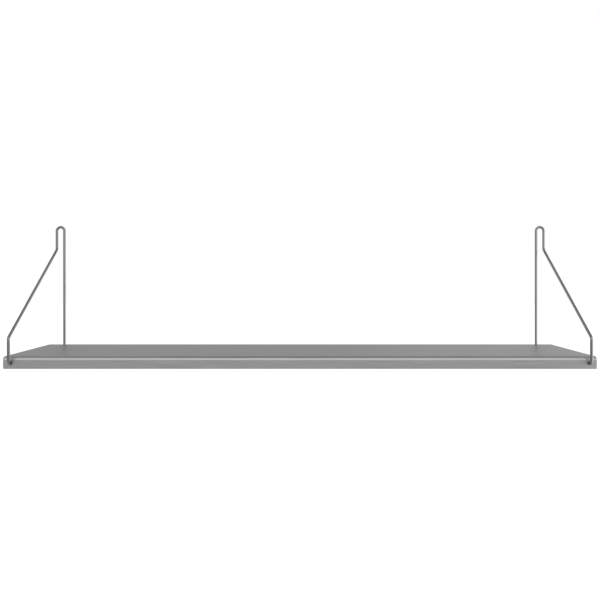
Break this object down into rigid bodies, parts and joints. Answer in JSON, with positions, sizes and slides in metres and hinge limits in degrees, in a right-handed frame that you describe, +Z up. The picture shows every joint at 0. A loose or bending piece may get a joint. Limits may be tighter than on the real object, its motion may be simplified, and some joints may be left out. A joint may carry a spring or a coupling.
{
  "type": "wall shelf",
  "caption": "Folded sheet-metal wall shelf with turned-down edges, carried at each end by a bent-wire hanger whose top loop hangs on a wall screw.",
  "frame": {"origin": "middle of the tray's top face", "axes": "+Z up, +X along the shelf to the right as seen from the room, +Y towards the wall"},
  "size_m": [0.8, 0.218, 0.2057],
  "materials": {
    "tray_steel": "satin",
    "wire_steel": "satin"
  },
  "bodies": {
    "tray": {"shelf_tray": "tray_steel"},
    "left_hanger": {"hanger_left": "wire_steel"},
    "right_hanger": {"hanger_right": "wire_steel"}
  },
  "joints": [
    {"name": "left_hanger_swing", "type": "hinge", "parent": "tray", "child": "left_hanger", "pos_m": [-0.384, 0, -0.0095], "axis": [0.056, 0.9984, 0], "range_deg": [-255, 74]},
    {"name": "right_hanger_swing", "type": "hinge", "parent": "tray", "child": "right_hanger", "pos_m": [0.384, 0, -0.0095], "axis": [0.056, -0.9984, 0], "range_deg": [-255, 74]}
  ]
}
